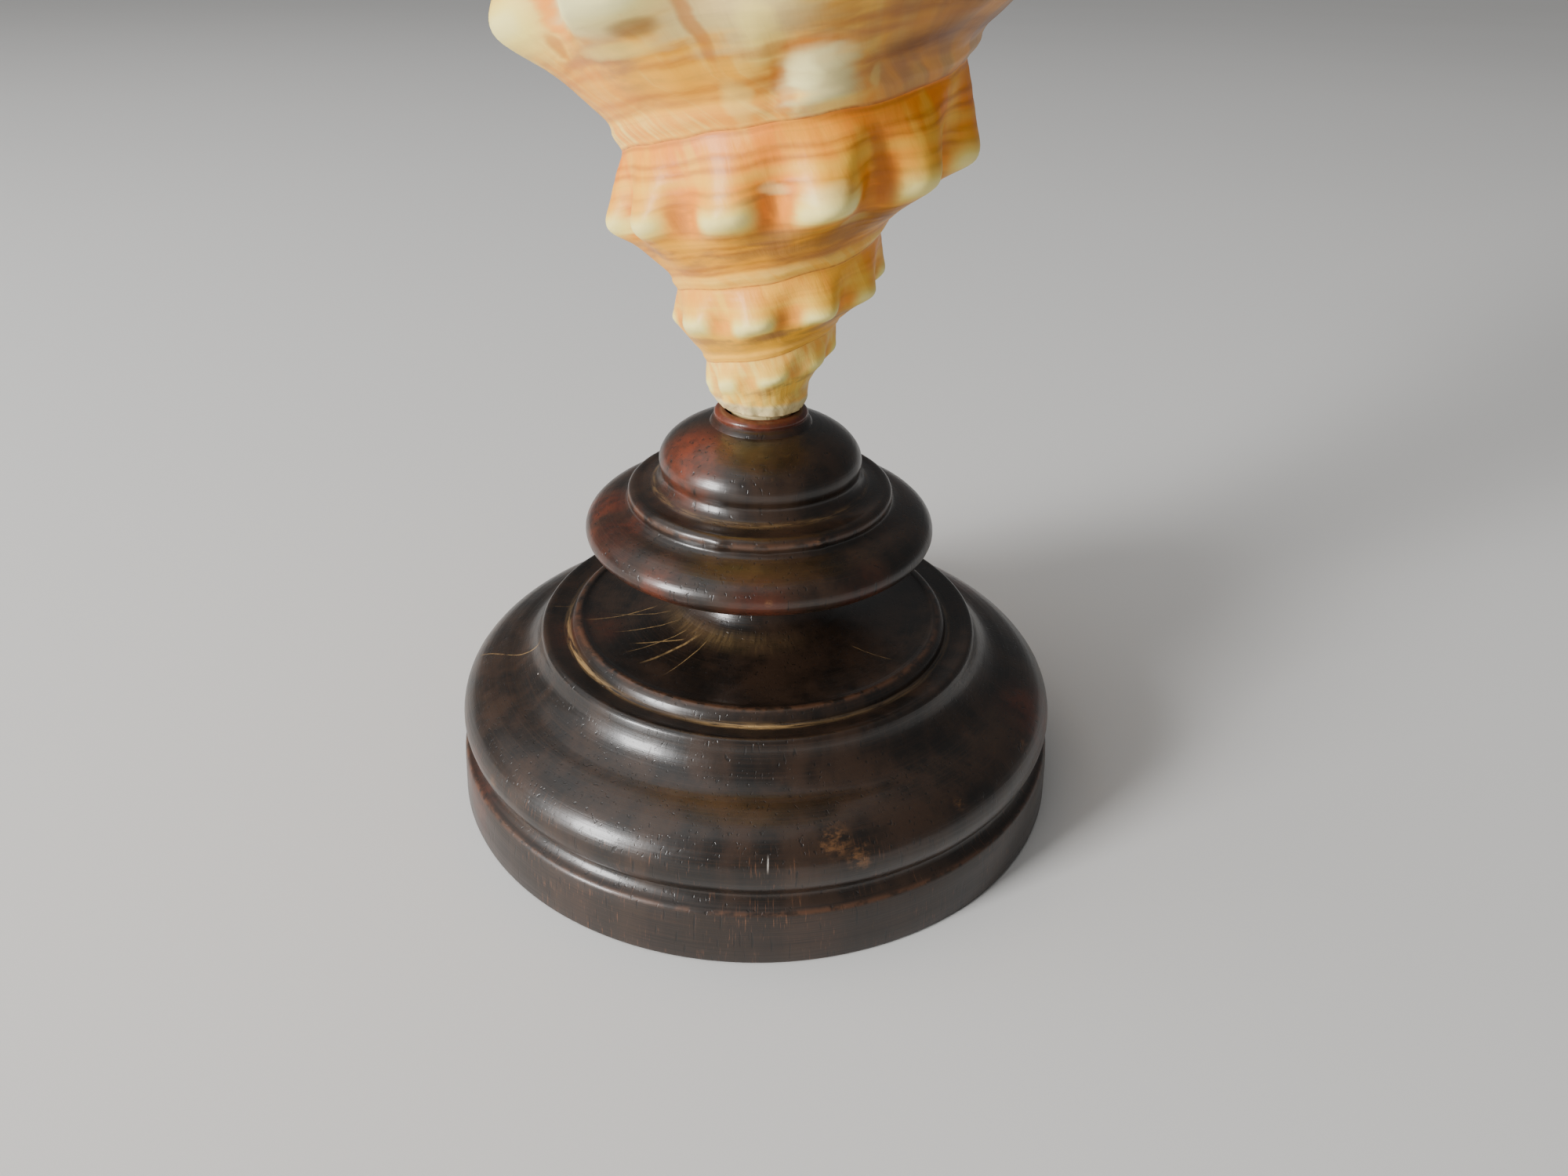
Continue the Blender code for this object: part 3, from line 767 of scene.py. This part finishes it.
# The apex is drawn down to a point, and the whole shell leans a little in its socket
caps = [face for face in shell.data.polygons if len(face.vertices) > 4]
tip_index = min(caps, key=lambda face: face.center.z).index
bpy.ops.object.mode_set(mode="EDIT")
bpy.ops.mesh.select_mode(type="FACE")
bpy.ops.mesh.select_all(action="DESELECT")
bpy.ops.object.mode_set(mode="OBJECT")
shell.data.polygons[tip_index].select = True
bpy.ops.object.mode_set(mode="EDIT")
bpy.ops.mesh.poke()
bpy.ops.object.mode_set(mode="OBJECT")
tip_point = shell.data.vertices[-1]
tip_point.co = (0.0, 0.0, TIP_HEIGHT)
bpy.ops.object.mode_set(mode="EDIT")
bpy.ops.mesh.select_all(action="SELECT")
bpy.ops.mesh.normals_make_consistent(inside=False)
bpy.ops.object.mode_set(mode="OBJECT")
foot_of_axis = Vector((-LEAN.x * LEAN_HEIGHT, -LEAN.y * LEAN_HEIGHT, APEX_HEIGHT)) * MM
leaning = Euler((-LEAN.y, LEAN.x, 0.0)).to_matrix().to_4x4()
shell.data.transform(Matrix.Translation(foot_of_axis) @ leaning @ Matrix.Scale(MM, 4))
bpy.ops.object.select_all(action="DESELECT")
shell.select_set(True)
bpy.ops.object.shade_smooth()

ORANGE = (0.93, 0.28, 0.010, 1.0)
PEACH = (0.96, 0.43, 0.018, 1.0)
BUTTER = (0.97, 0.57, 0.058, 1.0)
CREAM = (0.97, 0.79, 0.20, 1.0)
WHITE = (0.97, 0.90, 0.40, 1.0)
TAN = (0.62, 0.27, 0.055, 1.0)
RUST = (0.50, 0.145, 0.016, 1.0)
DARK_BROWN = (0.155, 0.056, 0.020, 1.0)
STONE_GREY = (0.66, 0.59, 0.27, 1.0)
MAUVE = (0.36, 0.165, 0.070, 1.0)
FLESH = (0.95, 0.45, 0.13, 1.0)
CHALK = (0.80, 0.68, 0.36, 1.0)

nacre, shader, wire = new_finish("polished conch", IOR=1.5, Specular_IOR_Level=0.3, Coat_Weight=0.05,
                                 Coat_Roughness=0.18)
winding = wire.node("ShaderNodeUVMap", {"uv_map": "winding"}, {})
turn, rise = split(winding)[:2]
at = wire.node("ShaderNodeTexCoord", {}, {}, output=3)
mouth = wire.node("ShaderNodeAttribute", {"attribute_name": "mouth"}, {}, output=2)
knob = wire.node("ShaderNodeAttribute", {"attribute_name": "knob"}, {}, output=2)
small_whorls = turn.ramp(1.0, 0.1)
tip_whorls = turn.ramp(0.1, -0.7)
smaller = 2.0 - turn.maths("MINIMUM", 2.0)
crest = rise - (KNOB_RISE + KNOB_CLIMB * smaller * smaller)

# Growth lines run nearly along the axis, and slant forward near the suture
lag = (1.12 - rise).greater(0.0)
slant = turn + 0.10 * (rise - 1.3) - 0.30 * lag
growth = cloud(bring(slant * 17.0, rise * 1.6, 0.0), 1.0, 2.0, 0.5)
soft_growth = cloud(bring(slant * 38.0, rise * 2.5, 6.0), 1.0, 2.0, 0.5)
fine_growth = cloud(bring(slant * 75.0, rise * 4.0, 4.0), 1.0, 3.0, 0.6)
blotches = cloud(bring(turn * 9.0, rise * 9.0, 9.0), 1.0, 4.0, 0.6)
threads = cloud(bring(turn * 5.0, rise * 75.0, 5.0), 1.0, 2.0, 0.5)
speckle = cloud(at, 700.0, 2.0, 0.5)

# Ground colour: orange faces with soft pale growth bands, cream and tan on the ramp below the knobs
ramp_part = crest.ramp(-0.03, -0.10)
colour = blend(ORANGE, PEACH, growth.ramp(0.44, 0.64) * 0.8)
colour = blend(colour, BUTTER, soft_growth.ramp(0.52, 0.70) * 0.6)
colour = blend(colour, BUTTER, rise.near(1.445, 0.035) * 0.45)
last_whorl = turn.ramp(1.95, 2.15)
colour = blend(colour, BUTTER, last_whorl * 0.45)
pale_bands = last_whorl * growth.ramp(0.40, 0.60) * (0.35 + 0.45 * blotches.ramp(0.60, 0.42))
colour = blend(colour, CREAM, pale_bands)
ramp_colour = blend(PEACH, TAN, blotches.ramp(0.44, 0.62) * 0.8)
ramp_colour = blend(ramp_colour, BUTTER, turn.ramp(1.7, 2.0) * growth.ramp(0.35, 0.55) * 0.2)
cream_streaks = (fine_growth * 0.6 + soft_growth * 0.4).ramp(0.45, 0.58) * turn.ramp(1.2, 2.0)
ramp_colour = blend(ramp_colour, CREAM, cream_streaks * blotches.ramp(0.62, 0.48) * 0.32)
colour = blend(colour, ramp_colour, ramp_part)
colour = blend(colour, BUTTER, small_whorls * 0.35)
colour = blend(colour, CREAM, tip_whorls * (0.15 + 0.35 * soft_growth.ramp(0.40, 0.60)))
hem_part = rise.near(1.030, 0.050)
hem_streaks = (fine_growth * 0.5 + soft_growth * 0.5).ramp(0.43, 0.58)
hem_ground = blend(PEACH, ORANGE, turn.ramp(1.3, 2.1))
hem_colour = blend(hem_ground, CREAM, 0.15 + hem_streaks * turn.ramp(0.6, 2.0) * 0.6)
colour = blend(colour, hem_colour, hem_part * 0.85)

# Pairs of spiral lines, broken and uneven, weaker on the small whorls
PAIRS = [(1.085, 0.011), (1.171, 0.013), (1.243, 0.010), (1.382, 0.021), (1.498, 0.018), (1.60, 0.016),
         (1.71, 0.016), (1.82, 0.016), (1.93, 0.015), (2.04, 0.015), (2.15, 0.014), (2.26, 0.014),
         (2.37, 0.013)]
LINE_WIDTH = 0.017
lines = rise * 0.0
for middle_rise, apart in PAIRS:
    for line in (middle_rise - apart, middle_rise + apart):
        lines = lines + rise.near(line, LINE_WIDTH)
line_break = cloud(bring(turn * 16.0, rise * 26.0, 2.0), 1.0, 3.0, 0.6)
line_share = lines * (0.40 + 0.60 * line_break.ramp(0.36, 0.58)) * turn.ramp(0.0, 1.2)
colour = blend(colour, RUST, line_share * 0.60)
colour = blend(colour, TAN, threads.ramp(0.54, 0.70) * 0.17)

# Knobs: cream on their crests, with rust in the gaps and a brown shadow under them
knob_width = 1.0 + 0.6 * small_whorls
gap = (1.0 - knob).ramp(0.35, 1.0) * (0.8 - 0.30 * small_whorls - 0.25 * tip_whorls)
gap_colour = blend(ORANGE, RUST, blotches.ramp(0.35, 0.60))
colour = blend(colour, gap_colour, gap * crest.near(0.01, 0.12))
up_knob = crest / knob_width
crown = knob.ramp(0.05, 0.85) * up_knob.near(-0.005, 0.090)
colour = blend(colour, BUTTER, up_knob.near(0.03, 0.12) * knob.ramp(0.2, 0.8) * 0.6)
crown_colour = blend(CREAM, WHITE, crown.ramp(0.6, 1.0) * (0.4 + 0.6 * turn.ramp(1.6, 2.0)))
colour = blend(colour, crown_colour, crown.ramp(0.0, 0.95) * 0.94)
colour = blend(colour, MAUVE, blotches.ramp(0.44, 0.60) * crest.near(-0.125, 0.070) * 0.55)


wavy = cloud(bring(turn * 24.0, rise * 24.0, 12.0), 1.0, 2.0, 0.55) - 0.5


def mark(middle_turn, middle_rise, half_turn, half_rise):
    """A soft patch at a place of the winding."""
    across = (turn - middle_turn + 0.10 * (rise - middle_rise)) / half_turn + wavy * 1.3
    up = (rise - middle_rise) / half_rise + wavy * 0.9
    return (across * across + up * up).ramp(1.25, 0.15)


# Marks of this one shell, each at its turn and rise on the winding, among them painted shadows beside and
# under knobs
MARKS_AND_PAINTED_SHADOWS = [
    (CREAM, 2.050, 1.285, 0.048, 0.090, 0.55), (RUST, 2.085, 1.225, 0.008, 0.030, 0.6),
    (ORANGE, 2.094, 1.300, 0.013, 0.090, 0.7), (STONE_GREY, 2.140, 1.280, 0.045, 0.075, 0.7),
    (STONE_GREY, 2.225, 1.235, 0.055, 0.085, 0.65), (CREAM, 2.150, 1.195, 0.040, 0.020, 0.5),
    (WHITE, 2.122, 1.300, 0.020, 0.040, 0.6), (DARK_BROWN, 2.172, 1.232, 0.016, 0.022, 0.55),
    (RUST, 2.203, 1.215, 0.0055, 0.090, 0.65), (CREAM, 2.240, 1.185, 0.014, 0.070, 0.55),
    (CREAM, 2.222, 1.060, 0.014, 0.055, 0.35), (RUST, 2.262, 1.155, 0.035, 0.018, 0.5),
    (RUST, 2.254, 1.070, 0.008, 0.070, 0.65), (STONE_GREY, 2.280, 1.072, 0.031, 0.092, 0.9),
    (WHITE, 2.266, 1.095, 0.012, 0.045, 0.5), (CREAM, 2.300, 1.020, 0.026, 0.025, 0.6),
    (RUST, 2.345, 1.050, 0.020, 0.030, 0.55), (CREAM, 2.322, 1.060, 0.006, 0.030, 0.6),
    # Painted shadows on the middle whorl: the mauve patches at turns 1.255, 1.232 and 1.310, the dark brown
    # patch at turn 1.350 and the long rust streak at turn 1.349
    (RUST, 1.156, 1.300, 0.011, 0.070, 0.6), (ORANGE, 1.254, 1.310, 0.016, 0.055, 0.9),
    (RUST, 1.250, 1.330, 0.006, 0.060, 0.5), (WHITE, 1.300, 1.345, 0.030, 0.050, 0.45),
    (RUST, 1.349, 1.380, 0.011, 0.160, 0.6), (MAUVE, 1.255, 1.205, 0.045, 0.035, 0.5),
    (CREAM, 1.335, 1.205, 0.018, 0.022, 0.4), (DARK_BROWN, 1.350, 1.165, 0.075, 0.070, 0.6),
    (WHITE, 1.252, 1.385, 0.014, 0.032, 0.3), (MAUVE, 1.232, 1.365, 0.014, 0.018, 0.35),
    (MAUVE, 1.310, 1.110, 0.070, 0.065, 0.55), (ORANGE, 2.085, 1.130, 0.060, 0.070, 0.35),
    # Painted shadows under the knobs of the small whorls: the mauve patches at turns 0.262 and 0.360
    (CREAM, 1.083, 1.290, 0.030, 0.040, 0.8), (MAUVE, 0.262, 1.205, 0.045, 0.050, 0.7),
    (MAUVE, 0.360, 1.160, 0.050, 0.050, 0.55),
]
for tint, middle_turn, middle_rise, half_turn, half_rise, share in MARKS_AND_PAINTED_SHADOWS:
    colour = blend(colour, tint, mark(middle_turn, middle_rise, half_turn, half_rise) * share)

# The last whorl's far side is painted browner as painted shade, and the two dark bands on its ramp are real
# spiral bands, painted darker inside that shade
shaded_far_side = turn.ramp(2.283, 2.350) * turn.ramp(2.75, 2.50)
colour = blend(colour, blend(TAN, MAUVE, soft_growth.ramp(0.4, 0.6)), shaded_far_side * (0.24 + 0.56 * ramp_part))
for band_rise, half_width, share in ((1.112, 0.062, 0.60), (1.195, 0.048, 0.40)):
    band = rise.near(band_rise, half_width) * shaded_far_side * (share + 0.3 * line_break.ramp(0.30, 0.62))
    colour = blend(colour, DARK_BROWN, band)
suture_line = rise.near(1.0, 0.011) * (1.0 - mouth.ramp(0.0, 0.2))
colour = blend(colour, RUST, suture_line * (0.5 + 0.5 * fine_growth.ramp(0.35, 0.6)))

# The mouth: a flesh-coloured glaze with brown ridges inside the lip
wave = (rise * (2 * math.pi / THREAD_STEP)).maths("COSINE")
ridges = (wave * 0.5 + 0.5).ramp(0.70, 0.97)
mouth_colour = blend(FLESH, CREAM, blotches.ramp(0.35, 0.65) * 0.6)
ridge_lines = ridges * mouth.ramp(1.0, 1.05) * turn.ramp(2.2, 2.3) * (0.25 + 0.25 * line_break)
mouth_colour = blend(mouth_colour, RUST, ridge_lines)
mouth_colour = blend(mouth_colour, PEACH, mouth.ramp(1.25, 1.8))
colour = blend(colour, mouth_colour, mouth.ramp(0.05, 0.9))
dirt = cloud(at, 260.0, 4.0, 0.65)
colour = blend(colour, TAN, dirt.ramp(0.58, 0.75) * 0.25)

# A rough whitish crust where the shell meets the collar
up = split(at)[2]
crust = up.ramp(0.0532, 0.0524)
colour = blend(colour, CHALK, crust * 0.85)
colour = blend(colour, MAUVE, crust * dirt.ramp(0.46, 0.62) * 0.6)
rough = 0.34 + 0.12 * blotches - 0.10 * mouth.ramp(0.0, 1.0) + 0.08 * speckle + 0.25 * crust
wire.tree.links.new(colour.socket, shader.inputs["Base Color"])
wire.tree.links.new(rough.socket, shader.inputs["Roughness"])
bumped(shader, wire, fine_growth * 0.6 + speckle * (0.12 + crust) + line_share * 0.2, 0.00014)
shell.data.materials.clear()
shell.data.materials.append(nacre)
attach(shell, "root")
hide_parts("shell")


# The place it stands in: one plain pale matt sheet as the floor, which the stand's foot rests on. It is
# lit by a soft window light from the left, a large dim panel overhead and even daylight.
bpy.ops.object.select_all(action="DESELECT")
bpy.ops.mesh.primitive_plane_add(size=8.0, location=(0, 0, 0))
floor = bpy.context.object
floor.name = "floor"
pale, shader, wire = new_finish("pale floor", Roughness=0.8)
at = wire.node("ShaderNodeTexCoord", {}, {}, output=3)
tone = cloud(at, 3.0, 2.0, 0.5)
colour = blend((0.76, 0.75, 0.73, 1.0), (0.80, 0.79, 0.77, 1.0), tone)
wire.tree.links.new(colour.socket, shader.inputs["Base Color"])
floor.data.materials.append(pale)


def soft_light(name, location, width, height, power):
    """A lit panel that faces the shell."""
    shell_middle = Vector((0.0, 0.0, 0.08))
    facing = (shell_middle - Vector(location)).to_track_quat("-Z", "Y").to_euler()
    bpy.ops.object.light_add(type="AREA", location=location, rotation=facing)
    lamp = bpy.context.object
    lamp.name = name
    lamp.data.shape = "RECTANGLE"
    lamp.data.size = width
    lamp.data.size_y = height
    lamp.data.energy = power


soft_light("window", (-0.84, -0.58, 0.33), 0.29, 0.44, 21.0)
soft_light("ceiling", (-0.3, 0.1, 1.3), 1.4, 1.4, 4.0)

air = bpy.data.worlds.new("plain air")
bpy.context.scene.world = air
air.use_nodes = True
sky = air.node_tree.nodes["Background"]
sky.inputs["Color"].default_value = (0.86, 0.86, 0.86, 1.0)
sky.inputs["Strength"].default_value = 0.18
bpy.ops.object.light_add(type="SUN", location=(-1.0, 0.0, 2.0), rotation=(0.1, -0.75, 0.0))
daylight = bpy.context.object
daylight.name = "daylight"
daylight.data.energy = 0.8
daylight.data.angle = 1.2

# The viewer stands close in front, low, and looks down at the stand
bpy.ops.object.camera_add(location=(0.0, -0.1291, 0.1006), rotation=(1.0449, -0.0213, -0.0130))
camera = bpy.context.object
camera.data.sensor_width = 36.0
camera.data.lens = 26.1
camera.data.clip_start = 0.01
bpy.context.scene.camera = camera
